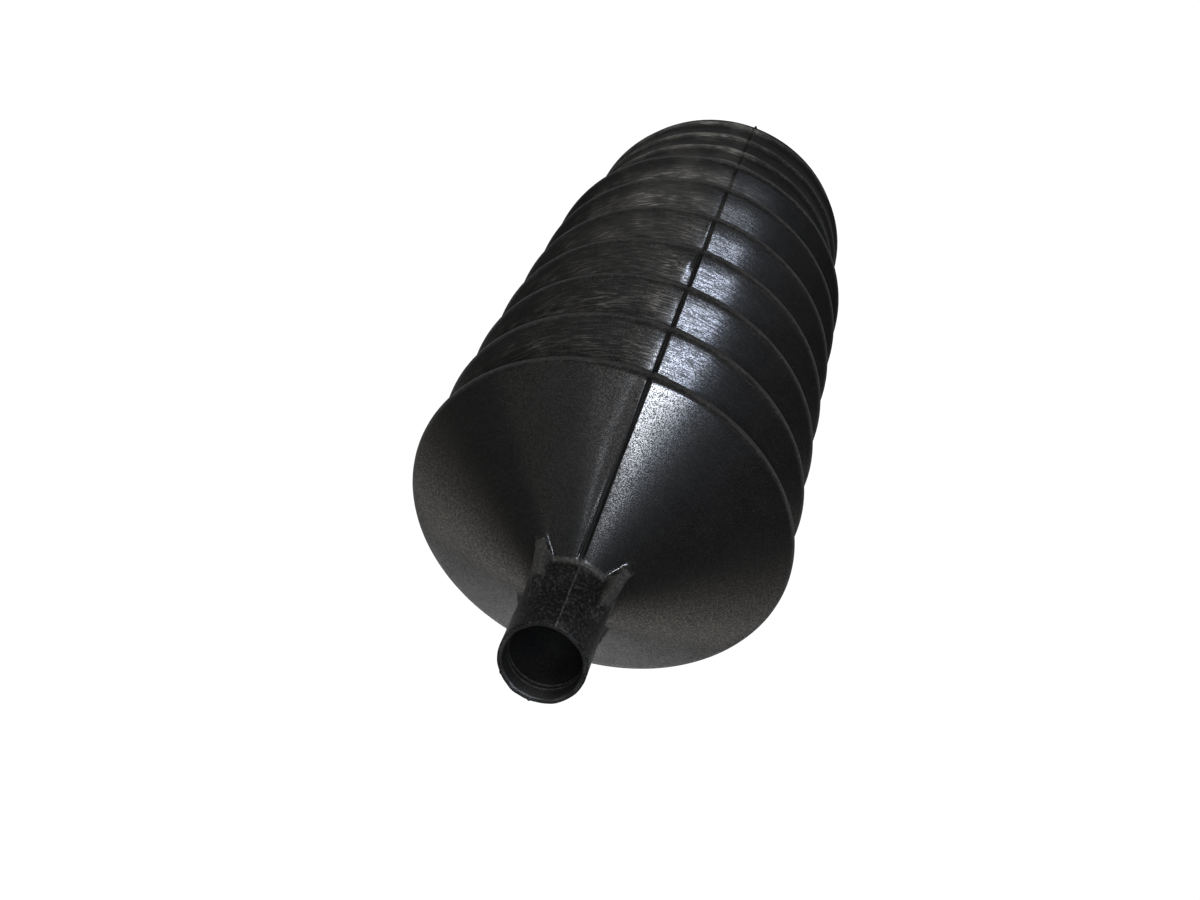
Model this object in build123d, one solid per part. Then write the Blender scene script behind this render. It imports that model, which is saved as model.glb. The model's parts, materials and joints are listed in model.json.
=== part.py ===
from build123d import *
import os
from math import acos, atan2, cos, hypot, radians, sin, tan

# Rubber bellows boot, moulded in one piece. Millimetres, +Z up.
# It stands on its large open rim, with the rim's centre at the origin and the narrow neck on top.
# The mould's parting plane is x = 0, so its flash lines run up the front (-Y) and the back (+Y).

# Folds
fold_radius = 40.0
valley_radius = 30.0
fold_count = 7
fold_pitch = 17.0
last_fold_pitch = 14.5
crest_rounding = 1.9
crest_thickness = 1.6
valley_thickness = 2.4

# Large cuff, with clamping rings round its outside
cuff_bore_radius = 34.0
cuff_wall = 1.9
cuff_length = 38.5
shoulder_height = 34.0
ring_count = 4
ring_pitch = 8.7
first_ring_height = 4.0
ring_width = 4.2
ring_rise = 1.0

# Cone and neck
cone_length = 20.0
cone_wall = 1.6
neck_length = 18.8
neck_bore_radius = 7.0
neck_wall = 1.25
root_chamfer = 0.9
mouth_slant = 15.0
mouth_recess_depth = 2.0
mouth_recess_step = 0.3

# Gussets between neck and cone, turned from the parting plane
gusset_count = 4
gusset_turn = 45.0
gusset_thickness = 2.4
gusset_reach = 4.8
gusset_length = 8.6
gusset_end_length = 3.0
gusset_end_rise = 1.9
gusset_root_depth = 0.6

cuff_radius = cuff_bore_radius + cuff_wall
ring_radius = cuff_radius + ring_rise
neck_radius = neck_bore_radius + neck_wall
fold_heights = [cuff_length] + [cuff_length + last_fold_pitch + fold_pitch * i for i in range(fold_count - 1)]
cone_base_height = fold_heights[-1]
neck_root_height = cone_base_height + cone_length
mouth_height = neck_root_height + neck_length
neck_top = mouth_height + 2 * neck_radius * tan(radians(mouth_slant))


def tangent_point(corner, centre, radius, turn):
    """Point where the line from a corner touches a circle; turn is 1 or -1 for the side that it touches."""
    dr, dz = corner[0] - centre[0], corner[1] - centre[1]
    angle = atan2(dz, dr) + turn * acos(radius / hypot(dr, dz))
    return centre[0] + radius * cos(angle), centre[1] + radius * sin(angle)


def inside(start, end, thickness):
    """The line from start to end, moved towards the boot's inside by a wall's thickness."""
    dr, dz = end[0] - start[0], end[1] - start[1]
    length = hypot(dr, dz)
    nr, nz = -dz / length * thickness, dr / length * thickness
    return (start[0] + nr, start[1] + nz), (end[0] + nr, end[1] + nz)


def at_radius(line, radius):
    """Point of a line at a given radius."""
    (r0, z0), (r1, z1) = line
    return radius, z0 + (z1 - z0) * (radius - r0) / (r1 - r0)


def valley_heights():
    """Height of each valley, half a pitch above the crest below it."""
    return [height + fold_pitch / 2 for height in fold_heights[:-1]]


def crest_points(height, low, high):
    """A crest's rounding as one upright flat, which touches the same circle as the flanks beside it."""
    centre = (fold_radius - crest_rounding, height)
    points = []
    for corner, side in ((low, 1), (high, -1)):
        touch = tangent_point(corner, centre, crest_rounding, side)
        turn = atan2(touch[1] - centre[1], touch[0] - centre[0])
        points.append((fold_radius, height + crest_rounding * tan(turn / 2)))
    return points


def crests():
    """For each crest: the corner below it, the points of its rounding and the corner above it."""
    valleys = [(valley_radius, height) for height in valley_heights()]
    lows = [(cuff_radius, shoulder_height)] + valleys
    highs = valleys + [(neck_radius, neck_root_height)]
    corners = zip(fold_heights, lows, highs)
    return [(low, crest_points(height, low, high), high) for height, low, high in corners]


def cone_line(folds):
    """The cone's outside as a straight line, from the last crest's rounding to the corner with the neck."""
    _, rounding, corner = folds[-1]
    return rounding[-1], corner


def cuff_points():
    """The cuff's outside with its rings, from the rim up to the shoulder."""
    points = [(cuff_radius, 0)]
    for i in range(ring_count):
        height = first_ring_height + ring_pitch * i
        for radius, rise in ((cuff_radius, -ring_width / 2), (ring_radius, 0), (cuff_radius, ring_width / 2)):
            points.append((radius, height + rise))
    return points + [(cuff_radius, shoulder_height)]


def root_points(cone):
    """The chamfer where the cone meets the neck."""
    (start_r, start_z), (end_r, end_z) = cone
    share = root_chamfer / hypot(end_r - start_r, end_z - start_z)
    foot = (end_r + (start_r - end_r) * share, end_z + (start_z - end_z) * share)
    return foot, (end_r, end_z + root_chamfer)


def outside_points(folds, cone):
    """The boot's outside in the plane of radius and height, from the rim to the neck's top."""
    points = cuff_points()
    for _, rounding, high in folds:
        points += [*rounding, high]
    return points[:-1] + [*root_points(cone), (neck_radius, neck_top)]


def inside_points(folds, cone):
    """The boot's inside from the rim to the neck's top, with a groove behind each crest."""
    shoulder_low, shoulder_rounding, _ = folds[0]
    shoulder = inside(shoulder_low, shoulder_rounding[0], cuff_wall)
    cone_end = at_radius(inside(*cone, cone_wall), neck_bore_radius)
    grooves = [(fold_radius - crest_thickness, height) for height in fold_heights]
    ridges = [(valley_radius - valley_thickness, height) for height in valley_heights()] + [cone_end]
    points = [(cuff_bore_radius, 0), at_radius(shoulder, cuff_bore_radius)]
    for groove, ridge in zip(grooves, ridges):
        points += [groove, ridge]
    return points + [(neck_bore_radius, neck_top)]


def bellows_wall():
    """The turned wall of cuff, folds, cone and neck."""
    folds = crests()
    cone = cone_line(folds)
    outline = Polyline(*outside_points(folds, cone), *reversed(inside_points(folds, cone)), close=True)
    return revolve(Plane.XZ * make_face(outline), Axis.Z)


def gusset():
    """One fin between the neck and the cone, with a blunt end towards the mouth."""
    cone = cone_line(crests())
    buried_cone = inside(*cone, gusset_root_depth)
    outer_reach, inner_reach = neck_radius + gusset_reach, neck_radius - gusset_root_depth
    end_height = neck_root_height + gusset_length
    outline = Polyline(
        at_radius(cone, outer_reach),
        (neck_radius + gusset_end_rise, end_height - gusset_end_length),
        (neck_radius, end_height),
        (inner_reach, end_height),
        at_radius(buried_cone, inner_reach),
        at_radius(buried_cone, outer_reach),
        close=True,
    )
    return extrude(Plane.XZ * make_face(outline), gusset_thickness / 2, both=True)


def slanted_plane(drop):
    """Plane of the mouth, which leans so that the front lip is the lower one."""
    lean = radians(mouth_slant)
    return Plane(origin=(0, 0, mouth_height - drop), x_dir=(1, 0, 0), z_dir=(0, -sin(lean), cos(lean)))


def bellows_boot():
    boot = bellows_wall()
    for i in range(gusset_count):
        boot += Rot(0, 0, gusset_turn + i * 360 / gusset_count) * gusset()
    boot = split(boot, bisect_by=slanted_plane(0), keep=Keep.BOTTOM)
    recess = Pos(0, 0, mouth_height) * Cylinder(neck_bore_radius + mouth_recess_step, 4 * neck_radius)
    return boot - split(recess, bisect_by=slanted_plane(mouth_recess_depth), keep=Keep.TOP)


os.makedirs("parts", exist_ok=True)
export_step(bellows_boot(), "parts/bellows_boot.step")
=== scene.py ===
import json
from math import acos, atan2, ceil, cos, pi, radians, sin, tan

import bpy
from bpy.props import FloatProperty, FloatVectorProperty, IntProperty, PointerProperty
from mathutils import Matrix, Vector


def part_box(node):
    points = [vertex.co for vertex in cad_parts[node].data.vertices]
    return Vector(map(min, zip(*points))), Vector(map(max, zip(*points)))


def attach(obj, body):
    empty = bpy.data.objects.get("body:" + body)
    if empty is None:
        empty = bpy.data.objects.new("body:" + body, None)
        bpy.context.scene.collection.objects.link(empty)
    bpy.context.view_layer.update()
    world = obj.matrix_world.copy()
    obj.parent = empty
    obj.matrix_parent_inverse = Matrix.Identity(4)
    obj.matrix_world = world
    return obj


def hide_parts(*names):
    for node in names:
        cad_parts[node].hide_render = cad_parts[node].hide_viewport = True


bl_info = {
    "name": "Rubber Bellows Boot",
    "version": (1, 0, 0),
    "blender": (4, 5, 0),
    "location": "View3D > Sidebar > Bellows Boot",
    "description": "Makes a moulded rubber bellows boot with its parting lines, gussets and trimmed mouth",
    "category": "Object",
}

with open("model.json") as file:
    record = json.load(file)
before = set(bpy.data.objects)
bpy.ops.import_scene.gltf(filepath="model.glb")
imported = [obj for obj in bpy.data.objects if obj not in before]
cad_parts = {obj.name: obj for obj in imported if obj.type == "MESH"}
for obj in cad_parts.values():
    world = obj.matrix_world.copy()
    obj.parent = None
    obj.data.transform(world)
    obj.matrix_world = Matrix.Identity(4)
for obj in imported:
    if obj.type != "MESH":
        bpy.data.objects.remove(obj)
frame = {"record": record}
MM = 0.001
CAD_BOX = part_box("bellows_boot")
BORES = {mount["name"]: mount["dims"].get("r_mm") for mount in frame["record"]["mounts"]}

# How far the rows of a rounded corner may leave its arc
OUTSIDE_TOLERANCE = 0.014 * MM
INSIDE_TOLERANCE = 0.04 * MM

# A spacing of rows, in metres, that leaves the run after a corner in one piece
UNCUT = 1

# How rubbed the skin is, and where light is painted on it: it looks rubbed from about 0.5 and dusty from
# about 1.2
# The crests are rubbed, and this also paints a highlight line along each crest's edge
CREST_WEAR_AND_HIGHLIGHT = 0.9
# The rings' tops are rubbed, and this also paints the rings' lit bands
RING_WEAR_AND_LIGHT = 2.4
# A painted highlight along the fillet where the cone meets the neck
ROOT_HIGHLIGHT = 1.35
# Rubbing on the neck and the lip
NECK_WEAR = 0.55
LIP_WEAR = 0.35
# Makes the neck's parting line lighter
NECK_SEAM_LIGHTENING = 1.3

# Power of an area lamp, in watts for each square metre, that makes it as bright as a radiance of 1
AREA_POWER = 4


def length(name, description, millimetres):
    """A length property with its default in millimetres."""
    default = millimetres * MM
    return FloatProperty(name=name, description=description, default=default, unit="LENGTH", precision=5)


def in_degrees(name, description, degrees):
    """An angle property with its default in degrees."""
    return FloatProperty(name=name, description=description, default=radians(degrees), subtype="ANGLE")


def amount(name, description, default):
    """A property for a plain number."""
    return FloatProperty(name=name, description=description, default=default, precision=4)


def tint(name, description, *default):
    """A colour property, which may be brighter than white for a lamp."""
    return FloatVectorProperty(name=name, description=description, default=default, subtype="COLOR", max=2)


class BootSizes(bpy.types.PropertyGroup):
    """The boot's form, as the CAD part has it."""

    fold_radius: length("Fold radius", "Radius of the crests", CAD_BOX[1][0] / MM)
    valley_radius: length("Valley radius", "Radius of the valleys between the folds", 30)
    fold_count: IntProperty(name="Folds", description="Number of crests", default=7)
    fold_pitch: length("Fold pitch", "Height from crest to crest", 17)
    last_fold_pitch: length("Last fold pitch", "Height from the shoulder's crest to the next", 14.5)
    crest_rounding: length("Crest rounding", "Radius of a crest's outside in section", 1.9)
    crest_thickness: length("Crest thickness", "Wall at a crest", 1.6)
    valley_thickness: length("Valley thickness", "Wall at a valley", 2.4)
    valley_rounding: length("Valley rounding", "Radius of a valley's outside in section", 1.0)
    cuff_bore_radius: length("Cuff bore radius", "Radius of the cuff's bore", BORES["cuff_bore"])
    cuff_wall: length("Cuff wall", "Wall of the cuff between its rings", 1.9)
    cuff_length: length("Cuff length", "Height of the shoulder's crest", 38.5)
    shoulder_height: length("Shoulder height", "Height where the cuff widens to the shoulder", 34)
    ring_count: IntProperty(name="Rings", description="Number of rings round the cuff", default=4)
    ring_pitch: length("Ring pitch", "Height from ring to ring", 8.7)
    first_ring_height: length("First ring height", "Height of the lowest ring", 4)
    ring_width: length("Ring width", "Height that a ring takes", 4.2)
    ring_rise: length("Ring rise", "How far a ring stands out of the cuff", 1.0)
    cone_length: length("Cone length", "Height of the cone", 20)
    cone_wall: length("Cone wall", "Wall of the cone", 1.6)
    neck_length: length("Neck length", "Height of the neck on its axis", 18.8)
    neck_bore_radius: length("Neck bore radius", "Radius of the neck's bore", BORES["neck_bore"])
    neck_wall: length("Neck wall", "Wall of the neck", 1.25)
    root_rounding: length("Root rounding", "Radius between the cone and the neck", 1.0)
    lip_rounding: length("Lip rounding", "Radius of the mouth's edges", 0.25)
    mouth_slant: in_degrees("Mouth slant", "Angle of the mouth to the boot's end", 15)
    recess_depth: length("Recess depth", "Depth of the wider bore in the mouth", 2)
    recess_step: length("Recess step", "How much wider the bore is at the lip", 0.3)
    bead_rise: length("Bead rise", "How far the two beads below the recess stand into the bore", 0.12)
    bead_pitch: length("Bead pitch", "Height from bead to bead", 0.8)
    gusset_turn: in_degrees("Gusset turn", "Angle from the parting plane to a gusset", 45)
    gusset_thickness: length("Gusset thickness", "Thickness of a gusset", 2.4)
    gusset_reach: length("Gusset reach", "How far a gusset reaches along the cone", 4.8)
    gusset_length: length("Gusset length", "Height of a gusset on the neck", 8.6)
    gusset_end_length: length("Gusset end length", "Height of a gusset's blunt end", 3)
    gusset_end_rise: length("Gusset end rise", "How far the blunt end stands out of the neck", 1.9)


class BootSurface(bpy.types.PropertyGroup):
    """Marks of moulding, trimming and use, and the rubber's colours."""

    columns: IntProperty(name="Columns", description="Divisions round the boot", default=290)
    bunching: amount("Bunching", "How strongly the columns crowd towards the parting lines", 0.28)
    close_bunching: amount("Close bunching", "The same, close beside the parting lines", 0.043)
    seam_ridge: length("Seam ridge", "How far the skin rises to the parting line", 0.28)
    seam_ridge_reach: length("Seam ridge reach", "Width of that rise on each side", 7)
    seam_roll: length("Seam roll", "From the parting line to the ridge's top on the side of +X", 3)
    seam_groove: length("Seam groove", "Depth of the parting line on the folds", 0.45)
    seam_groove_width: length("Seam groove width", "Half its width", 0.42)
    cone_groove_gap: length("Cone groove gap", "From the cone's groove to the second one at its foot", 0.85)
    cone_groove_width: length("Cone groove width", "Half the width of the cone's grooves", 0.26)
    cone_band: length("Cone band", "Width of the sunk band beside the cone's groove", 2.4)
    cone_band_depth: length("Cone band depth", "Depth of that band at its far edge", 0.10)
    seam_wander: length("Seam wander", "How far the parting line strays", 0.5)
    neck_seam: length("Neck seam", "Height of the parting line on the neck", 0.16)
    gusset_lumps: length("Gusset lumps", "How uneven the gussets' edges are", 0.55)
    unevenness: length("Unevenness", "Slow waves in the rubber's skin", 0.05)
    lip_roughness: length("Lip roughness", "How unevenly the mouth is trimmed", 0.4)
    seed: IntProperty(name="Seed", description="Seed of everything uneven", default=4)
    rubber_colour: tint("Rubber", "Colour of clean rubber", 0.002, 0.002, 0.002)
    # Also the colour of the painted highlight lines along the crests and of the rings' painted lit bands
    wear_and_highlight_colour: tint("Worn rubber and painted highlights", "Colour of rubbed edges and of painted highlight lines", 0.022, 0.021, 0.019)
    # Also the colour of painted light: the highlight at the cone's foot, the rings' lit bands, glints beside
    # the seam and light on the side of +X
    dust_and_light_colour: tint("Dust and painted light", "Colour of the dust in the grain and of painted light", 0.16, 0.15, 0.13)


class StudioSettings(bpy.types.PropertyGroup):
    """Lamps, room, floor and camera."""

    key_radiance: amount("Key light", "Brightness of the window-like lamp", 47)
    key_colour: tint("Key colour", "Colour of daylight", 0.95, 0.985, 1.06)
    foot_radiance: amount("Window foot", "Brightness of the window's lower part", 21)
    foot_colour: tint("Window foot colour", "Colour of that part", 0.88, 0.98, 1.2)
    sky_radiance: amount("Sky light", "Brightness of the sky beside the window", 1.6)
    sky_colour: tint("Sky colour", "Colour of that sky", 0.6, 0.85, 1.4)
    side_radiance: amount("Side light", "Brightness of the soft lamp beside it", 0.75)
    wall_radiance: amount("Wall light", "Brightness of the lit wall at +X", 0.2)
    fill_colour: tint("Fill colour", "Colour of the room and the other lamps", 1.05, 1.0, 0.92)
    lamp_distance: length("Lamp distance", "From the boot to a lamp", 2000)
    room_grey: amount("Room", "Brightness of the room all round", 0.06)
    front_glow: amount("Front glow", "Extra brightness of the room low at -Y", 0.5)
    left_glow: amount("Left glow", "Extra brightness of the room at +X", 0.1)
    back_glow: amount("Back glow", "Extra brightness of the room at +Y", 0.64)
    floor_reach: length("Floor reach", "Half the floor's width", 3000)
    floor_colour: tint("Floor", "Colour of the floor", 0.12, 0.12, 0.12)
    floor_glow: amount("Floor glow", "White that the camera sees on the floor", 0.94)
    # Gloss sees the floor's glow darker near the boot: a painted shadow in reflections
    near_in_gloss: amount("Near floor in gloss", "Share of it that gloss shows near the boot", 0.13)
    far_in_gloss: amount("Far floor in gloss", "Share of it that gloss shows far from the boot", 0.3)
    near_floor: length("Near floor", "How far from the boot's axis the near share reaches", 100)
    far_floor: length("Far floor", "How far from the boot's axis the far share starts", 400)
    lens: amount("Lens", "Focal length on a sensor of 36 mm", 33.524)
    camera_place: FloatVectorProperty(
        name="Camera place",
        description="Where the camera stands",
        default=(-0.0041031, -0.15491, 0.306084),
        subtype="TRANSLATION",
        unit="LENGTH",
        precision=5,
    )
    camera_right: FloatVectorProperty(
        name="Camera right",
        description="Direction to the right of the picture",
        default=(-0.93432, -0.25222, -0.25184),
        subtype="DIRECTION",
    )
    camera_up: FloatVectorProperty(
        name="Camera up",
        description="Direction to the top of the picture",
        default=(0.35419, -0.73607, -0.57685),
        subtype="DIRECTION",
    )


# Each lamp's name, its azimuth and elevation, its width and height as the boot sees it, all in degrees, and
# the settings that hold its brightness and its colour
LAMPS = (
    ("Sky", -20, 54, 11, 24, "sky_radiance", "sky_colour"),
    ("Window", -11, 58.5, 9.5, 16, "key_radiance", "key_colour"),
    ("Window foot", -14, 45.5, 13, 10, "foot_radiance", "foot_colour"),
    ("Softbox", 14, 50, 24, 36, "side_radiance", "fill_colour"),
    ("Wall", 48, 44, 56, 40, "wall_radiance", "fill_colour"),
)

# Flash left standing and nicks torn out at the front parting line, on the gussets and at the lip: turn in
# degrees, then height, half width round the boot, half height and rise in millimetres
SEAM_MARKS = (
    (4.7, 90.0, 1.7, 1.0, 0.3),
    (2.6, 89.0, 1.0, 0.8, 0.42),
    (0.6, 88.6, 0.8, 0.5, -0.5),
    (-4.8, 53.1, 0.9, 0.5, -0.5),
    (1.2, 71.4, 0.8, 0.6, 0.4),
    (0.3, 105.0, 0.9, 0.6, 0.35),
    (0.9, 24.5, 0.9, 0.8, 0.45),
    (-0.6, 0.9, 0.5, 0.8, 0.9),
    (46.5, 164.6, 0.9, 0.8, 0.35),
    (-47.5, 163.9, 1.1, 1.0, 0.35),
    (-44.0, 161.4, 0.7, 0.9, 0.25),
    (128.0, 176.0, 0.7, 0.8, 0.35),
)


class NodeMaker:
    """Adds nodes to a tree and joins their sockets, or sets them to plain values."""

    def __init__(self, tree):
        self.tree = tree

    def add(self, kind, inputs=None, **settings):
        node = self.tree.nodes.new(kind)
        node.location = (200 * len(self.tree.nodes), 0)
        for name, value in settings.items():
            setattr(node, name, value)
        for name, value in (inputs or {}).items():
            self.join(node.inputs[name], value)
        return node

    def output(self, kind, inputs=None, **settings):
        """Adds a node and gives its first output."""
        return self.add(kind, inputs, **settings).outputs[0]

    def join(self, socket, value):
        if isinstance(value, bpy.types.NodeSocket):
            self.tree.links.new(value, socket)
        else:
            socket.default_value = value

    def math(self, operation, *values, clamp=False):
        node = self.add("ShaderNodeMath", operation=operation, use_clamp=clamp)
        for socket, value in zip(node.inputs, values):
            self.join(socket, value)
        return node.outputs[0]

    def total(self, *values):
        result = values[0]
        for value in values[1:]:
            result = self.math("ADD", result, value)
        return result

    def product(self, *values):
        result = values[0]
        for value in values[1:]:
            result = self.math("MULTIPLY", result, value)
        return result

    def less(self, value, taken):
        return self.math("SUBTRACT", value, taken)

    def rest(self, value, clamp=False):
        """What the value leaves of 1."""
        return self.math("SUBTRACT", 1.0, value, clamp=clamp)

    def vector(self, x, y, z):
        return self.output("ShaderNodeCombineXYZ", {"X": x, "Y": y, "Z": z})

    def blend(self, factor, low, high, kind="FLOAT"):
        """Goes from low to high with the factor, for numbers, or for colours with the kind RGBA."""
        first, result = {"FLOAT": (2, 0), "RGBA": (6, 2)}[kind]
        node = self.add("ShaderNodeMix", {"Factor": factor, first: low, first + 1: high}, data_type=kind)
        return node.outputs[result]

    def ramp(self, value, start, end, low=0.0, high=1.0):
        """Rises smoothly from low at start to high at end."""
        node = self.add("ShaderNodeMapRange", interpolation_type="SMOOTHSTEP")
        for socket, entry in zip(node.inputs, (value, start, end, low, high)):
            self.join(socket, entry)
        return node.outputs[0]

    def noise(self, vector, scale, detail=2.0, roughness=0.5):
        node = self.add("ShaderNodeTexNoise", {"Scale": scale, "Detail": detail, "Roughness": roughness})
        self.join(node.inputs["Vector"], vector)
        return node.outputs[0]

    def attribute(self, name, data_type="FLOAT"):
        return self.output("GeometryNodeInputNamedAttribute", {"Name": name}, data_type=data_type)

    def store(self, geometry, name, value):
        """Keeps a number at each point of the geometry."""
        inputs = {"Geometry": geometry, "Name": name, "Value": value}
        return self.output("GeometryNodeStoreNamedAttribute", inputs, data_type="FLOAT")


def tangent_point(corner, centre, radius, side):
    """Point where the line from a corner touches a circle; side is 1 or -1."""
    towards = corner - centre
    angle = atan2(towards.y, towards.x) + side * acos(radius / towards.length)
    return centre + radius * Vector((cos(angle), sin(angle)))


def meeting_point(a, b, c, d):
    """Where the line through a and b meets the line through c and d."""
    u, v = b - a, d - c
    return a + u * ((c - a).cross(v) / u.cross(v))


def moved_inside(start, end, thickness):
    """The line from start to end, moved towards the boot's inside."""
    along = (end - start).normalized() * thickness
    step = Vector((-along.y, along.x))
    return start + step, end + step


def at_radius(line, radius):
    """Point of a line at a given radius."""
    start, end = line
    return start.lerp(end, (radius - start.x) / (end.x - start.x))


def fold_heights(sizes):
    """Height of each crest, from the shoulder's to the cone's."""
    second = sizes.cuff_length + sizes.last_fold_pitch
    return [sizes.cuff_length] + [second + sizes.fold_pitch * i for i in range(sizes.fold_count - 1)]


def cuff_radius(sizes):
    """Outside radius of the cuff between its rings."""
    return sizes.cuff_bore_radius + sizes.cuff_wall


def neck_radius(sizes):
    """Outside radius of the neck."""
    return sizes.neck_bore_radius + sizes.neck_wall


def root_height(sizes):
    """Height where the cone meets the neck."""
    return fold_heights(sizes)[-1] + sizes.cone_length


def outside_corners(sizes):
    """Corners of the outside from the rim to the mouth: point, rounding and spacing of the rows after it."""
    rim_rounding, shoulder_rounding = 0.5 * MM, 1.2 * MM
    flank_rows, gusset_rows, neck_rows = 3.2 * MM, 0.6 * MM, 0.7 * MM
    # Rise, place in the ring's width and rounding of a ring's corners
    ring = ((0, -0.5, 1.0 * MM), (sizes.ring_rise, 0.1, 0.9 * MM), (0, 0.46, 1.0 * MM))
    cuff, neck = cuff_radius(sizes), neck_radius(sizes)
    crests = fold_heights(sizes)
    root = Vector((neck, root_height(sizes)))
    valleys = [Vector((sizes.valley_radius, height + sizes.fold_pitch / 2)) for height in crests[:-1]]
    shoulder = Vector((cuff, sizes.shoulder_height))
    corners = [(Vector((cuff, 0)), rim_rounding, UNCUT)]
    for i in range(sizes.ring_count):
        height = sizes.first_ring_height + sizes.ring_pitch * i
        for rise, offset, rounding in ring:
            corners.append((Vector((cuff + rise, height + offset * sizes.ring_width)), rounding, UNCUT))
    corners.append((shoulder, shoulder_rounding, UNCUT))
    for i, height in enumerate(crests):
        low = valleys[i - 1] if i else shoulder
        high = valleys[i] if i < len(valleys) else root
        centre = Vector((sizes.fold_radius - sizes.crest_rounding, height))
        below = tangent_point(low, centre, sizes.crest_rounding, 1)
        above = tangent_point(high, centre, sizes.crest_rounding, -1)
        corners.append((meeting_point(low, below, high, above), sizes.crest_rounding, flank_rows))
        if i < len(valleys):
            corners.append((high, sizes.valley_rounding, flank_rows))
    corners.append((at_radius((above, root), neck + sizes.gusset_reach + MM), 0, gusset_rows))
    corners.append((root, sizes.root_rounding, neck_rows))
    corners.append((Vector((neck, root.y + sizes.neck_length)), sizes.lip_rounding, UNCUT))
    return corners


def inside_corners(sizes):
    """Corners of the inside from the mouth to the rim, told in the same way."""
    bead_rounding, bend_rounding, rim_rounding = 0.1 * MM, 0.8 * MM, 0.4 * MM
    groove_rounding, ridge_rounding = 0.7 * MM, 0.9 * MM
    cone_rows, cuff_rows, shoulder_lift = 8 * MM, 12 * MM, 0.5 * MM
    bore = sizes.neck_bore_radius
    crests = fold_heights(sizes)
    root = Vector((neck_radius(sizes), root_height(sizes)))
    mouth = root.y + sizes.neck_length
    step = mouth - sizes.recess_depth
    cone = moved_inside(Vector((sizes.fold_radius, crests[-1])), root, sizes.cone_wall)
    corners = [(Vector((bore + sizes.recess_step, mouth)), sizes.lip_rounding, UNCUT)]
    for i in range(2):
        for rise, offset in ((0, -0.4), (sizes.bead_rise, 0), (0, 0.4)):
            place = Vector((bore - rise, step - (i + offset) * sizes.bead_pitch))
            corners.append((place, bead_rounding, UNCUT))
    corners.append((at_radius(cone, bore), bend_rounding, cone_rows))
    for i in reversed(range(len(crests))):
        groove = Vector((sizes.fold_radius - sizes.crest_thickness, crests[i]))
        corners.append((groove, groove_rounding, UNCUT))
        if i:
            height = crests[i - 1] + sizes.fold_pitch / 2
            ridge = Vector((sizes.valley_radius - sizes.valley_thickness, height))
            corners.append((ridge, ridge_rounding, UNCUT))
    shoulder = Vector((sizes.cuff_bore_radius, sizes.shoulder_height + shoulder_lift))
    corners.append((shoulder, bend_rounding, cuff_rows))
    corners.append((Vector((sizes.cuff_bore_radius, 0)), rim_rounding, UNCUT))
    return corners


def rounded_outline(corners):
    """Closed outline with every corner rounded by an arc and the runs between the arcs cut into rows.

    Each corner is a point, a rounding, a spacing of rows and how far the arc's rows may leave it."""
    arcs = []
    for i, (corner, rounding, spacing, tolerance) in enumerate(corners):
        before = (corners[i - 1][0] - corner).normalized()
        after = (corners[(i + 1) % len(corners)][0] - corner).normalized()
        turn = pi - acos(max(-1.0, min(1.0, before.dot(after))))
        centre = corner + (before + after).normalized() * rounding / cos(turn / 2)
        spoke = corner + before * rounding * tan(turn / 2) - centre
        turn_way = -1 if before.cross(after) > 0 else 1
        steps = max(2, ceil(turn / (2 * acos(1 - tolerance / rounding)))) if rounding else 0
        turns = [turn_way * turn * k / max(1, steps) for k in range(steps + 1)]
        arcs.append(([centre + Matrix.Rotation(angle, 2) @ spoke for angle in turns], spacing))
    outline = []
    for i, (points, spacing) in enumerate(arcs):
        outline += points
        end, start = points[-1], arcs[(i + 1) % len(arcs)][0][0]
        rows = ceil((start - end).length / spacing)
        outline += [end.lerp(start, k / rows) for k in range(1, rows)]
    return outline


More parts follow.
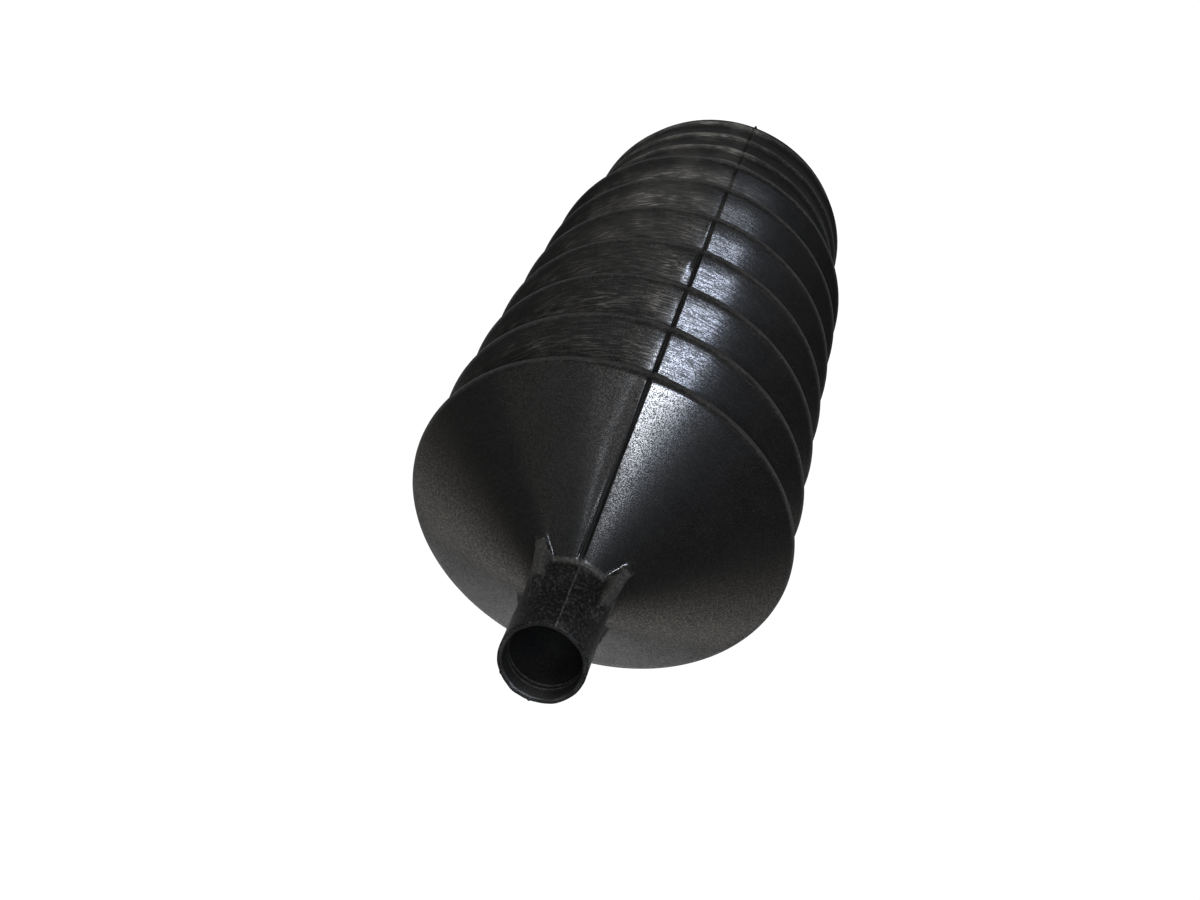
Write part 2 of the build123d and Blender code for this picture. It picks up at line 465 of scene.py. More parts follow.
def section_mesh(sizes):
    """The boot's section as a closed line of vertices, with what the node tree reads at each of them."""
    crest_band, edge_band, root_lift = 0.5 * MM, 1.0 * MM, 0.2 * MM
    outline = rounded_outline(
        [(*corner, OUTSIDE_TOLERANCE) for corner in outside_corners(sizes)]
        + [(*corner, INSIDE_TOLERANCE) for corner in inside_corners(sizes)]
    )
    mesh = bpy.data.meshes.new("boot_section")
    count = len(outline)
    mesh.from_pydata([(p.x, 0, p.y) for p in outline], [(i, (i + 1) % count) for i in range(count)], [])
    root = root_height(sizes)
    mouth = root + sizes.neck_length
    slant_start = root + sizes.gusset_length
    cuff = cuff_radius(sizes)
    ring_top = sizes.first_ring_height + sizes.ring_pitch * (sizes.ring_count - 0.5)
    bead_start = sizes.neck_bore_radius - 0.5 * sizes.bead_rise
    top = max(range(count), key=lambda i: outline[i].y)
    rows, normals = [], []
    for i, point in enumerate(outline):
        along = (outline[(i + 1) % count] - outline[i - 1]).normalized()
        normals += (along.y, 0, -along.x)
        crest = 0.0
        # Inside the bore only the beads' tips are drawn lighter
        wear = 1.0 if point.x < bead_start else 0.0
        lip = max(0.0, 1 - (mouth - point.y) / edge_band)
        if i <= top:
            crest = max(0.0, 1 - (sizes.fold_radius - point.x) / crest_band)
            # The rings' tops: rubbed, and painted lighter as the rings' lit bands
            ring = max(0.0, (point.x - cuff) / sizes.ring_rise - 0.5) if point.y < ring_top else 0.0
            # A painted highlight along the fillet at the cone's foot
            root_highlight = max(0.0, 1 - abs(point.y - root - root_lift) / edge_band)
            neck = NECK_WEAR if point.y > root else 0.0
            # Crests rubbed and painted with a highlight line, the rings' tops rubbed and painted as lit
            # bands, the root a painted highlight, the neck and the lip rubbed
            wear = max(CREST_WEAR_AND_HIGHLIGHT * crest, LIP_WEAR * lip, RING_WEAR_AND_LIGHT * ring, ROOT_HIGHLIGHT * root_highlight, neck)
        rows.append(
            {
                "section_radius": point.x,
                "height": point.y,
                "outside": 1.0 if i <= top else 0.0,
                "crest": crest,
                "slant": max(0.0, min(1.0, (point.y - slant_start) / (mouth - slant_start))),
                "lip": lip,
                "wear": wear,
            }
        )
    for name in rows[0]:
        values = [row[name] for row in rows]
        mesh.attributes.new(name, "FLOAT", "POINT").data.foreach_set("value", values)
    mesh.attributes.new("section_normal", "FLOAT_VECTOR", "POINT").data.foreach_set("vector", normals)
    return mesh


def new_node_tree(name, kind, inputs, outputs):
    """A node group with its named sockets: (name, socket type, default)."""
    tree = bpy.data.node_groups.new(name, kind)
    for in_out, sockets in (("INPUT", inputs), ("OUTPUT", outputs)):
        for label, socket_type, default in sockets:
            socket = tree.interface.new_socket(label, in_out=in_out, socket_type=socket_type)
            if default is not None:
                socket.default_value = default
    return tree


def float_sockets(defaults):
    """Sockets for numbers, as new_node_tree takes them."""
    return [(name, "NodeSocketFloat", default) for name, default in defaults.items()]


def seam_offset(maker, group, radius, height, turn, outside):
    """How far the parting lines move the skin along its normal, the line on the neck, and the matt strip."""
    cone_blend, foot_length, band_end = 3 * MM, 11 * MM, 1.8 * MM
    neck_line_width, matt_shift, matt_reach, matt_edge = 0.4 * MM, 0.2 * MM, 0.35 * MM, 0.65 * MM
    across = maker.product(radius, maker.math("SINE", turn))
    stray = maker.noise(maker.vector(group["Seed"], 0.0, height), scale=60.0, detail=3.0)
    strayed = maker.total(across, maker.product(maker.less(stray, 0.5), group["Seam wander"]))
    depth = maker.noise(maker.vector(group["Seed"], 3.0, height), scale=400.0)
    uneven = maker.ramp(depth, 0.3, 0.7, low=0.7, high=1.25)

    def groove(place, half_width):
        return maker.rest(maker.math("ABSOLUTE", maker.math("DIVIDE", place, half_width)), clamp=True)

    on_neck = maker.ramp(height, maker.less(group["Root height"], MM), group["Root height"])
    on_cone = maker.ramp(height, group["Cone start"], maker.total(group["Cone start"], cone_blend))
    off_cone = maker.rest(on_cone)
    foot = maker.ramp(height, maker.less(group["Root height"], foot_length), group["Root height"])
    in_front = maker.math("GREATER_THAN", maker.math("COSINE", turn), 0.0)

    # The rounded ridge that carries the line, whose top lies further round on the side of +X
    share = maker.math("DIVIDE", maker.math("ABSOLUTE", across), group["Seam ridge reach"])
    share = maker.rest(share, clamp=True)
    from_top = maker.math("ABSOLUTE", maker.less(across, group["Seam roll"]))
    rolled = maker.ramp(from_top, group["Seam ridge reach"], 0.0)
    on_rolled_side = maker.product(maker.math("GREATER_THAN", across, 0.0), off_cone)
    profile = maker.blend(on_rolled_side, maker.product(share, share), rolled)
    crest_free = maker.rest(maker.attribute("crest"))
    on_flanks = maker.ramp(radius, 15 * MM, 36 * MM)
    ridge = maker.product(profile, group["Seam ridge"], crest_free, on_flanks)

    # One groove on the folds, and a shallower one on the cone that splits in two at its foot
    folds = maker.product(groove(strayed, group["Seam groove width"]), off_cone)
    widening = maker.product(maker.ramp(radius, 24 * MM, 40 * MM), 0.3 * MM)
    first = groove(strayed, maker.total(group["Cone groove width"], widening))
    second = groove(maker.less(strayed, group["Cone groove gap"]), group["Cone groove width"])
    cone = maker.product(maker.total(first, maker.product(second, foot)), on_cone, 0.6)
    grooves = maker.product(maker.total(folds, cone), uneven, group["Seam groove"], -1.0)

    # The sunk band beside the cone's groove, narrower towards the foot
    band = maker.product(group["Cone band"], uneven, maker.less(1.15, foot))
    sunk = maker.math("DIVIDE", strayed, group["Cone band"], clamp=True)
    back = maker.ramp(strayed, band, maker.total(band, band_end), low=1.0, high=0.0)
    sunk = maker.product(sunk, back, group["Cone band depth"], on_cone, in_front, -1.0)

    neck_line = maker.product(groove(strayed, neck_line_width), on_neck, uneven, outside)
    folded = maker.product(maker.total(ridge, grooves, sunk), maker.rest(on_neck), outside)
    beside = maker.math("ABSOLUTE", maker.less(strayed, matt_shift))
    beside = maker.ramp(beside, matt_reach, matt_edge, low=1.0, high=0.0)
    return maker.total(folded, maker.product(neck_line, group["Neck seam"])), neck_line, beside


def mark_offset(maker, radius, height, turn):
    """How far the skin moves at each of the marks."""
    result = 0.0
    for degrees, mark_height, half_width, half_height, rise in SEAM_MARKS:
        mark_turn = radians(degrees)
        away = maker.less(maker.math("WRAP", turn, 2 * pi + mark_turn, mark_turn), mark_turn)
        away = maker.math("PINGPONG", away, pi)
        across = maker.math("DIVIDE", maker.product(radius, away), half_width * MM)
        along = maker.math("DIVIDE", maker.less(height, mark_height * MM), half_height * MM)
        squares = maker.total(maker.product(across, across), maker.product(along, along))
        near = maker.rest(squares, clamp=True)
        result = maker.total(maker.product(near, rise * MM), result)
    return result


def gusset_radius(maker, group, radius, height, turn, outside, place):
    """The skin's radius with the gussets: each fin is the lesser of its edge and its flat sides."""
    end_blend, side_blend, root_blend, reach_down = 0.5 * MM, 0.45 * MM, 1.1 * MM, 5 * MM
    quarter, least_sine = pi / 2, 0.01
    from_fin = maker.less(maker.math("FLOORED_MODULO", turn, quarter), group["Gusset turn"])
    sine = maker.math("MAXIMUM", maker.math("SINE", maker.math("ABSOLUTE", from_fin)), least_sine)
    sides = maker.math("DIVIDE", group["Gusset half thickness"], sine)
    above = maker.less(height, group["Root height"])

    def edge(rise, fall):
        return maker.less(rise, maker.product(above, fall))

    long_edge = edge(group["Gusset edge"], group["Gusset fall"])
    blunt_end = edge(group["Gusset end edge"], group["Gusset end fall"])
    fin = maker.math("SMOOTH_MIN", long_edge, blunt_end, end_blend)
    fin = maker.math("SMOOTH_MIN", fin, sides, side_blend)
    lumps = maker.less(maker.noise(place, scale=480.0), 0.5)
    lumps = maker.product(lumps, group["Gusset lumps"], 2.0)
    raised = maker.math("SMOOTH_MAX", radius, maker.total(fin, lumps), root_blend)
    near_neck = maker.math("GREATER_THAN", height, maker.less(group["Root height"], reach_down))
    return maker.total(radius, maker.product(maker.less(raised, radius), outside, near_neck))


def moulding_numbers(sizes, surface):
    """Every number that the node tree reads, by the name of its socket."""
    neck = neck_radius(sizes)
    edge_low = -sizes.gusset_reach * sizes.cone_length / (sizes.fold_radius - neck)
    edge_high = sizes.gusset_length - sizes.gusset_end_length
    fall = (sizes.gusset_reach - sizes.gusset_end_rise) / (edge_high - edge_low)
    end_fall = sizes.gusset_end_rise / sizes.gusset_end_length
    return {
        "Bunching": surface.bunching,
        "Close bunching": surface.close_bunching,
        "Seam ridge": surface.seam_ridge,
        "Seam ridge reach": surface.seam_ridge_reach,
        "Seam roll": surface.seam_roll,
        "Seam groove": surface.seam_groove,
        "Seam groove width": surface.seam_groove_width,
        "Cone groove gap": surface.cone_groove_gap,
        "Cone groove width": surface.cone_groove_width,
        "Cone band": surface.cone_band,
        "Cone band depth": surface.cone_band_depth,
        "Seam wander": surface.seam_wander,
        "Neck seam": surface.neck_seam,
        "Unevenness": surface.unevenness,
        "Lip roughness": surface.lip_roughness,
        "Fold radius": sizes.fold_radius,
        "Cone start": fold_heights(sizes)[-1],
        "Root height": root_height(sizes),
        "Gusset lumps": surface.gusset_lumps,
        "Gusset turn": sizes.gusset_turn,
        "Gusset half thickness": sizes.gusset_thickness / 2,
        "Gusset edge": neck + sizes.gusset_end_rise + fall * edge_high,
        "Gusset fall": fall,
        "Gusset end edge": neck + end_fall * sizes.gusset_length,
        "Gusset end fall": end_fall,
        "Mouth slope": tan(sizes.mouth_slant),
    }


def moulding_tree(sizes, surface):
    """Turns the section round the axis, and adds the parting lines, the gussets and the slanted mouth."""
    trim_start = 0.62
    rubbed_from, rubbed_to = 0.7 * MM, 2.2 * MM
    inputs = [("Section", "NodeSocketGeometry", None), *float_sockets(moulding_numbers(sizes, surface))]
    inputs += [("Columns", "NodeSocketInt", surface.columns), ("Seed", "NodeSocketInt", surface.seed)]
    inputs += [("Skin", "NodeSocketMaterial", None), ("Bore", "NodeSocketMaterial", None)]
    tree = new_node_tree("Moulded boot", "GeometryNodeTree", inputs, [("Boot", "NodeSocketGeometry", None)])
    maker = NodeMaker(tree)
    group = maker.add("NodeGroupInput").outputs

    rail = maker.output("GeometryNodeMeshLine", {"Count": group["Columns"], "Offset": (0, 0, MM)})
    rail = maker.output("GeometryNodeMeshToCurve", {"Mesh": rail})
    rail = maker.output("GeometryNodeSetSplineCyclic", {"Geometry": rail, "Cyclic": True})
    step = maker.math("DIVIDE", 2 * pi, group["Columns"])
    even = maker.product(maker.output("GeometryNodeInputIndex"), step)
    wide_bunch = maker.product(maker.math("SINE", maker.product(even, 2.0)), group["Bunching"])
    close_bunch = maker.product(maker.math("SINE", maker.product(even, 8.0)), group["Close bunching"])
    rail = maker.store(rail, "turn", maker.less(maker.less(even, wide_bunch), close_bunch))
    section = maker.output("GeometryNodeMeshToCurve", {"Mesh": group["Section"]})
    skin = maker.output("GeometryNodeCurveToMesh", {"Curve": rail, "Profile Curve": section})

    turn, outside = maker.attribute("turn"), maker.attribute("outside")
    radius, height = maker.attribute("section_radius"), maker.attribute("height")
    normal = maker.attribute("section_normal", "FLOAT_VECTOR")
    normal = maker.add("ShaderNodeSeparateXYZ", {"Vector": normal}).outputs
    sine, cosine = maker.math("SINE", turn), maker.math("COSINE", turn)
    seeded_height = maker.total(height, group["Seed"])
    place = maker.vector(maker.product(radius, sine), maker.product(radius, cosine), seeded_height)
    waves = maker.less(maker.noise(place, scale=90.0), 0.5)
    waves = maker.product(waves, group["Unevenness"], 2.0, maker.rest(maker.attribute("crest")))
    marks = maker.product(mark_offset(maker, radius, height, turn), outside)
    seam, neck_line, beside = seam_offset(maker, group, radius, height, turn, outside)
    above_rim = maker.ramp(height, 0.0, 3 * MM)
    offset = maker.total(maker.product(maker.total(seam, waves), above_rim), marks)
    finned = gusset_radius(maker, group, radius, height, turn, outside, place)
    new_radius = maker.total(finned, maker.product(offset, normal["X"]))
    new_radius = maker.math("MINIMUM", new_radius, group["Fold radius"])
    y = maker.product(new_radius, cosine, -1.0)
    lean = maker.product(y, group["Mouth slope"], maker.attribute("slant"))
    trim = maker.math("MINIMUM", maker.less(maker.noise(place, scale=170.0, detail=1.0), trim_start), 0.0)
    trim = maker.product(trim, group["Lip roughness"], maker.attribute("lip"), 4.0)
    z = maker.total(height, maker.product(offset, normal["Z"]), lean, trim)
    new_place = maker.vector(maker.product(new_radius, sine), y, maker.math("MAXIMUM", z, 0.0))
    skin = maker.output("GeometryNodeSetPosition", {"Geometry": skin, "Position": new_place})

    rubbed = maker.ramp(maker.less(finned, radius), rubbed_from, rubbed_to)
    # The neck's parting line is drawn lighter
    wear = maker.math("MAXIMUM", rubbed, maker.product(neck_line, NECK_SEAM_LIGHTENING))
    wear = maker.math("MAXIMUM", maker.attribute("wear"), wear)
    skin = maker.store(skin, "wear", wear)
    skin = maker.store(skin, "matt", maker.math("MAXIMUM", beside, maker.attribute("lip")))
    skin = maker.output("GeometryNodeMergeByDistance", {"Geometry": skin, "Distance": 0.001 * MM})
    skin = maker.output("GeometryNodeFlipFaces", {"Mesh": skin})
    skin = maker.output("GeometryNodeSetShadeSmooth", {"Geometry": skin})
    skin = maker.output("GeometryNodeRealizeInstances", {"Geometry": skin})
    skin = maker.output("GeometryNodeSetMaterial", {"Geometry": skin, "Material": group["Bore"]})
    is_skin = maker.math("GREATER_THAN", outside, 0.5)
    skin_only = {"Geometry": skin, "Selection": is_skin, "Material": group["Skin"]}
    maker.add("NodeGroupOutput", {"Boot": maker.output("GeometryNodeSetMaterial", skin_only)})
    return tree


def run_tree(obj, tree, values):
    """Runs a node tree on an object with the given input values, and keeps the result as its plain mesh."""
    modifier = obj.modifiers.new(tree.name, "NODES")
    modifier.node_group = tree
    for item in tree.interface.items_tree:
        if item.item_type == "SOCKET" and item.in_out == "INPUT" and item.name in values:
            modifier[item.identifier] = values[item.name]
    bpy.context.view_layer.update()
    depsgraph = bpy.context.evaluated_depsgraph_get()
    mesh = bpy.data.meshes.new_from_object(
        obj.evaluated_get(depsgraph), preserve_all_data_layers=True, depsgraph=depsgraph
    )
    mesh.name = obj.name
    obj.modifiers.remove(modifier)
    obj.data = mesh
    if not mesh.polygons:
        raise RuntimeError(tree.name + " made nothing")


def link(obj):
    bpy.context.scene.collection.objects.link(obj)
    return obj


def rubber_grain_group(sizes):
    """The grain's height, and the places of its patches, flecks and pits, of its scuff marks with painted
    shade under the crests, painted lit bands on the rings and painted glints, and of the dust and painted
    light on the side of +X.
    """
    numbers = {
        "Streak length": 1.5 * MM,
        "Streak width": 0.10 * MM,
        "Streaks": 0.4,
        "Scuffs": 1.0,
        "Pits": 0.5,
        "Scuffed below": 138 * MM,
        "Dull below": 85 * MM,
        "Crest radius": sizes.fold_radius,
        "Cuff radius": cuff_radius(sizes),
        "Cuff height": 36 * MM,
    }
    # The Scuffed output also carries painted shade under the crests, painted lit bands on the rings and
    # painted glints beside the seam
    results = ("Height", "Patches", "Flecks", "Dull", "Settled", "Pitted", "Scuffed")
    inputs = [("Position", "NodeSocketVector", None), *float_sockets(numbers)]
    tree = new_node_tree("Rubber grain", "ShaderNodeTree", inputs, float_sockets(dict.fromkeys(results)))
    maker = NodeMaker(tree)
    group = maker.add("NodeGroupInput").outputs
    x, y, z = maker.add("ShaderNodeSeparateXYZ", {"Vector": group["Position"]}).outputs
    flat = maker.vector(x, y, 0.0)
    radius = maker.add("ShaderNodeVectorMath", {0: flat}, operation="LENGTH").outputs["Value"]

    # Streaks round the boot, pits and patches
    angle = maker.math("ARCTAN2", x, maker.product(y, -1.0))
    round_way = maker.math("DIVIDE", maker.product(angle, 30 * MM), group["Streak length"])
    outwards = maker.math("DIVIDE", radius, group["Streak width"])
    upwards = maker.math("DIVIDE", z, group["Streak width"])
    streaks = maker.noise(maker.vector(round_way, outwards, upwards), scale=0.5)
    pits = maker.ramp(maker.noise(group["Position"], scale=4200.0), 0.47, 0.58)
    patches = maker.noise(group["Position"], scale=140.0, detail=4.0)
    flecks = maker.noise(group["Position"], scale=1900.0)

    # The rubbed side is +X, and it reaches further round the front on the lower folds
    side_start = maker.ramp(z, 80 * MM, 40 * MM, low=-1 * MM, high=-30 * MM)
    below = maker.ramp(z, group["Scuffed below"], maker.less(group["Scuffed below"], MM))
    on_side = maker.product(maker.ramp(x, side_start, 2 * MM), below)
    # Close beside the parting line on the side of +X the scuff marks are raised, as painted glints
    glints_beside_seam = maker.product(maker.ramp(x, 8 * MM, MM), maker.ramp(z, 60 * MM, 90 * MM))

    # Scuffs follow the streaks. They fade towards the crests, which paints a shade band under each crest,
    # and are strongest on the cuff's rings, which paints the rings' lit bands
    scuffs_and_painted_light = maker.product(maker.ramp(streaks, 0.5, 0.72), maker.total(0.1, on_side))
    scuffs_and_painted_light = maker.product(scuffs_and_painted_light, maker.total(1.0, maker.product(glints_beside_seam, on_side, 2.0)))
    crest_inset = maker.less(group["Crest radius"], radius)
    # Less near the crests: a painted shade band under each crest
    crest_shade = maker.ramp(crest_inset, 0.8 * MM, 3.2 * MM, low=0.25, high=1.0)
    ring_rise = maker.less(radius, group["Cuff radius"])
    # The rings' tops get more of it, which paints their lit bands
    ring = maker.ramp(ring_rise, 0.1 * MM, 0.9 * MM, low=0.45, high=1.8)
    shade_and_light_bands = maker.blend(maker.math("LESS_THAN", z, group["Cuff height"]), crest_shade, ring)
    scuffs_and_painted_light = maker.product(scuffs_and_painted_light, shade_and_light_bands)
    on_folds = maker.ramp(z, group["Scuffed below"], 130 * MM)
    gaps = maker.product(maker.ramp(streaks, 0.54, 0.4), on_folds, 0.8)
    strength = maker.total(group["Streaks"], maker.product(on_side, group["Scuffs"]))
    height = maker.less(maker.product(streaks, strength), maker.product(pits, group["Pits"]))

    # On the side of +X of the lower folds and the cuff there is dust in the grain, which also paints the
    # light that falls on that side
    settled_dust_and_side_light = maker.product(maker.ramp(x, -12 * MM, 10 * MM), maker.ramp(x, 36 * MM, 20 * MM, low=0.3))
    settled_dust_and_side_light = maker.product(settled_dust_and_side_light, maker.ramp(z, 105 * MM, 45 * MM), shade_and_light_bands)
    dull = maker.ramp(z, group["Dull below"], maker.product(group["Dull below"], 0.35))
    values = (height, patches, flecks, dull, settled_dust_and_side_light, maker.math("MAXIMUM", pits, gaps), scuffs_and_painted_light)
    maker.add("NodeGroupOutput", dict(zip(results, values)))
    return tree


def rubber_material(name, grain, surface, grain_depth, roughness, gloss, sheen, wear_and_light_share):
    """Black rubber: rubbed edges with painted highlight lines, dust in the grain with painted light and
    glints, and a thin gloss that grain and rubbing break up.
    """
    material = bpy.data.materials.new(name)
    material.use_nodes = True
    tree = material.node_tree
    tree.nodes.clear()
    maker = NodeMaker(tree)
    position = maker.add("ShaderNodeTexCoord").outputs["Object"]
    marks = maker.add("ShaderNodeGroup", node_tree=grain)
    maker.join(marks.inputs["Position"], position)
    height, patches, flecks, dull, settled_dust_and_side_light, pitted, scuffed_and_painted_light = marks.outputs
    wear = maker.add("ShaderNodeAttribute", attribute_name="wear").outputs["Fac"]
    matt = maker.add("ShaderNodeAttribute", attribute_name="matt").outputs["Fac"]

    clouds = maker.ramp(patches, 0.4, 0.65, low=0.5, high=1.5)
    # How rubbed each place is, with the painted highlight lines and lit bands in it
    wear_and_light_here = maker.total(wear, maker.product(maker.total(patches, flecks), 0.5))
    # Dust in the grain, which also carries painted light: the lit side of +X, glints beside the seam and the
    # rings' lit bands
    dust = maker.total(
        maker.product(pitted, 0.02),
        maker.product(scuffed_and_painted_light, clouds, 0.19),
        maker.product(settled_dust_and_side_light, clouds, maker.total(0.15, maker.product(scuffed_and_painted_light, 0.25))),
        maker.product(maker.ramp(flecks, 0.46, 0.72), wear, 0.15, wear_and_light_share),
    )
    # Past about 1.6 the colour turns light: the painted highlight at the cone's foot, the rings' painted lit
    # bands and a lighter neck parting line
    dust = maker.math("MAXIMUM", dust, maker.product(maker.ramp(wear_and_light_here, 1.6, 2.2), wear_and_light_share))
    # Rubbed edges turn the lighter edge colour, which also paints the highlight lines along the crests
    rubbed = maker.product(maker.ramp(wear_and_light_here, 0.95, 1.4), wear_and_light_share)
    colour = maker.blend(rubbed, (*surface.rubber_colour, 1), (*surface.wear_and_highlight_colour, 1), "RGBA")
    colour = maker.blend(dust, colour, (*surface.dust_and_light_colour, 1), "RGBA")

    coat = maker.product(
        maker.rest(maker.product(wear, 1.2), clamp=True),
        gloss,
        maker.rest(maker.product(dull, 0.95)),
        maker.rest(matt, clamp=True),
        maker.ramp(flecks, 0.4, 0.58, low=0.62),
        maker.ramp(pitted, 0.0, 1.0, low=1.0, high=0.1),
    )
    smooth, rough = roughness
    bump = maker.output("ShaderNodeBump", {"Strength": 1.0, "Distance": grain_depth, "Height": height})
    shader = maker.output(
        "ShaderNodeBsdfPrincipled",
        {
            "Base Color": colour,
            "Normal": bump,
            "Roughness": maker.ramp(patches, 0.3, 0.7, low=smooth, high=rough),
            "Coat Weight": coat,
            "Coat Roughness": 0.17,
            "Specular IOR Level": sheen,
        },
    )
    maker.add("ShaderNodeOutputMaterial", {"Surface": shader})
    return material


class BOOT_OT_moulding(bpy.types.Operator):
    """Make the moulded boot in place of the plain CAD solid"""

    bl_idname = "bellows_boot.moulding"
    bl_label = "Moulded boot"

    def execute(self, context):
        sizes, surface = context.scene.boot_sizes, context.scene.boot_surface
        grain = rubber_grain_group(sizes)
        skin = rubber_material(
            "Moulded rubber skin",
            grain,
            surface,
            grain_depth=0.045 * MM,
            roughness=(0.30, 0.42),
            gloss=1.0,
            sheen=0.08,
            wear_and_light_share=1.0,
        )
        bore = rubber_material(
            "Rubber inside",
            grain,
            surface,
            grain_depth=0.02 * MM,
            roughness=(0.40, 0.55),
            gloss=0.0,
            sheen=0.35,
            wear_and_light_share=0.7,
        )
        boot = link(bpy.data.objects.new("moulded_rubber_boot", section_mesh(sizes)))
        run_tree(boot, moulding_tree(sizes, surface), {"Skin": skin, "Bore": bore})
        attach(boot, "root")
        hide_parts("bellows_boot")
        return {"FINISHED"}


def direction(azimuth, elevation):
    """Unit vector towards a place round the boot; azimuth 0 is the front (-Y), and 90 is +X."""
    a, e = radians(azimuth), radians(elevation)
    return Vector((sin(a) * cos(e), -cos(a) * cos(e), sin(e)))


def area_lamp(name, azimuth, elevation, wide, high, distance, radiance, colour):
    """A rectangular lamp that faces the boot, as wide and high as it looks from there, in degrees."""
    centre = Vector((0, 0, (CAD_BOX[0][2] + CAD_BOX[1][2]) / 2))
    towards = direction(azimuth, elevation)
    data = bpy.data.lights.new(name, "AREA")
    data.shape = "RECTANGLE"
    data.size, data.size_y = (2 * distance * tan(radians(angle / 2)) for angle in (wide, high))
    data.energy = AREA_POWER * radiance * data.size * data.size_y
    data.color = colour
    lamp = link(bpy.data.objects.new(name, data))
    turned = towards.to_track_quat("Z", "Y").to_matrix().to_4x4()
    lamp.matrix_world = Matrix.Translation(centre + towards * distance) @ turned
    lamp.visible_camera = False


def floor_material(studio):
    """White floor that the camera sees as bright, with the boot's shadow on it; its glow in reflections is
    painted darker near the boot, as its shadow there.
    """
    material = bpy.data.materials.new("White floor")
    material.use_nodes = True
    tree = material.node_tree
    tree.nodes.clear()
    maker = NodeMaker(tree)
    path = maker.add("ShaderNodeLightPath").outputs
    seen = maker.math("MAXIMUM", path["Is Camera Ray"], path["Is Transmission Ray"])
    place = maker.add("ShaderNodeTexCoord").outputs["Object"]
    away = maker.add("ShaderNodeVectorMath", {0: place}, operation="LENGTH").outputs["Value"]
    # Gloss sees less of the floor's glow near the boot than far away: a painted shadow of the boot in its
    # reflections
    shares = {"low": studio.near_in_gloss, "high": studio.far_in_gloss}
    in_gloss = maker.ramp(away, studio.near_floor, studio.far_floor, **shares)
    seen = maker.math("MAXIMUM", seen, maker.product(path["Is Glossy Ray"], in_gloss))
    shader = maker.output(
        "ShaderNodeBsdfPrincipled",
        {
            "Base Color": (*studio.floor_colour, 1),
            "Roughness": 0.9,
            "Specular IOR Level": 0.0,
            "Emission Color": (1, 1, 1, 1),
            "Emission Strength": maker.product(seen, studio.floor_glow),
        },
    )
    maker.add("ShaderNodeOutputMaterial", {"Surface": shader})
    return material


def studio_world(studio):
    """Grey light all round, brighter at the front, the left and the back, which the camera sees as white."""
    world = bpy.data.worlds.new("Studio room")
    world.use_nodes = True
    tree = world.node_tree
    tree.nodes.clear()
    maker = NodeMaker(tree)
    towards = maker.add("ShaderNodeTexCoord").outputs["Generated"]
    towards = maker.add("ShaderNodeSeparateXYZ", {"Vector": towards}).outputs

    def glow(strength, rising, fading):
        """Light that rises to its strength along one axis and fades to nothing along another."""
        (axis, start, end), (other_axis, none, whole) = rising, fading
        risen = maker.ramp(towards[axis], start, end, high=strength)
        return maker.product(risen, maker.ramp(towards[other_axis], none, whole))

    left = glow(studio.left_glow, ("X", 0.0, 0.7), ("Y", 0.35, -0.1))
    back = glow(studio.back_glow, ("Y", 0.1, 0.85), ("Z", 0.75, 0.1))
    front = glow(studio.front_glow, ("Y", -0.2, -0.8), ("Z", 0.6, 0.4))
    grey = maker.total(studio.room_grey, left, back, front)
    camera_ray = maker.add("ShaderNodeLightPath").outputs["Is Camera Ray"]
    colour = maker.blend(camera_ray, (*studio.fill_colour, 1), (1, 1, 1, 1), "RGBA")
    light = {"Color": colour, "Strength": maker.math("MAXIMUM", grey, camera_ray)}
    maker.add("ShaderNodeOutputWorld", {"Surface": maker.output("ShaderNodeBackground", light)})
    return world


def photo_camera(studio):
    """Camera above the narrow end, rolled so that the standing boot lies as it does in the picture."""
    data = bpy.data.cameras.new("Camera")
    data.lens = studio.lens
    data.sensor_width = 36
    data.clip_start = 0.01
    camera = link(bpy.data.objects.new("Camera", data))
    right = Vector(studio.camera_right).normalized()
    up = Vector(studio.camera_up).normalized()
    turned = Matrix((right, up, right.cross(up))).transposed().to_4x4()
    camera.matrix_world = Matrix.Translation(studio.camera_place) @ turned
    return camera


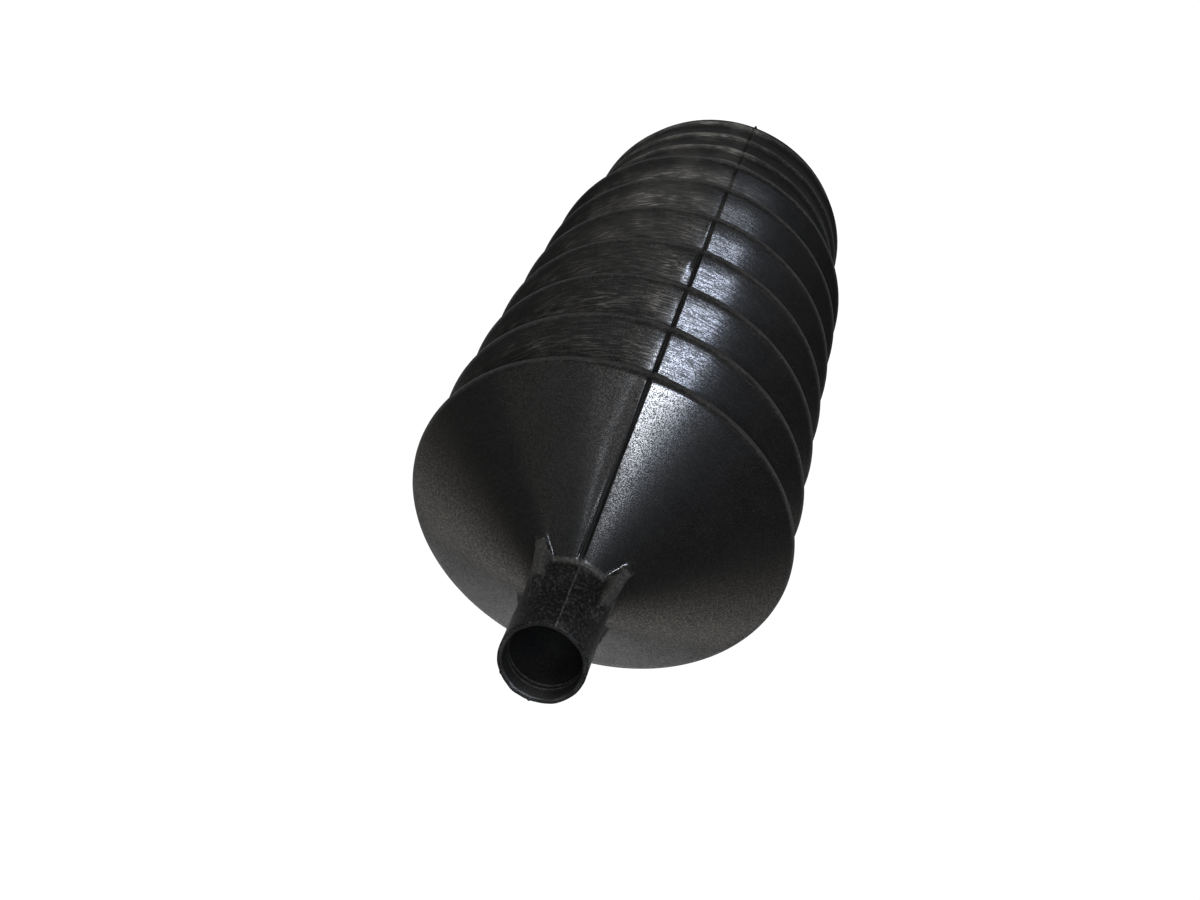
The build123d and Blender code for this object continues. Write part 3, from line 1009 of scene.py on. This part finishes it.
class BOOT_OT_stage(bpy.types.Operator):
    """Set up the floor, the lamps, the room and the camera"""

    bl_idname = "bellows_boot.stage"
    bl_label = "Studio"

    def execute(self, context):
        studio = context.scene.boot_studio
        reach = studio.floor_reach
        mesh = bpy.data.meshes.new("studio_floor")
        corners = [(-reach, -reach, 0), (reach, -reach, 0), (reach, reach, 0), (-reach, reach, 0)]
        mesh.from_pydata(corners, [], [(0, 1, 2, 3)])
        floor = link(bpy.data.objects.new("studio_floor", mesh))
        mesh.materials.append(floor_material(studio))
        for *lamp, radiance, colour in LAMPS:
            area_lamp(*lamp, studio.lamp_distance, getattr(studio, radiance), getattr(studio, colour))
        context.scene.world = studio_world(studio)
        context.scene.camera = photo_camera(studio)
        context.scene.view_settings.view_transform = "Standard"
        return {"FINISHED"}


class BOOT_PT_panel(bpy.types.Panel):
    """Shows the buttons that make the boot and the studio, and all the settings"""

    bl_idname = "BOOT_PT_panel"
    bl_label = "Bellows Boot"
    bl_space_type = "VIEW_3D"
    bl_region_type = "UI"
    bl_category = "Bellows Boot"

    def draw(self, context):
        for operator in OPERATORS:
            self.layout.operator(operator.bl_idname)
        for name in SETTINGS:
            group = getattr(context.scene, name)
            box = self.layout.box()
            for key in group.bl_rna.properties.keys():
                if key not in ("rna_type", "name"):
                    box.prop(group, key)


OPERATORS = (BOOT_OT_moulding, BOOT_OT_stage)
SETTINGS = {"boot_sizes": BootSizes, "boot_surface": BootSurface, "boot_studio": StudioSettings}


def register():
    for cls in (*SETTINGS.values(), *OPERATORS, BOOT_PT_panel):
        bpy.utils.register_class(cls)
    for name, cls in SETTINGS.items():
        setattr(bpy.types.Scene, name, PointerProperty(type=cls))


def unregister():
    for name in SETTINGS:
        delattr(bpy.types.Scene, name)
    for cls in (BOOT_PT_panel, *reversed(OPERATORS), *SETTINGS.values()):
        bpy.utils.unregister_class(cls)


def main():
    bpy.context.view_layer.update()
    register()
    bpy.ops.bellows_boot.moulding()
    bpy.ops.bellows_boot.stage()


if __name__ == "__main__":
    main()
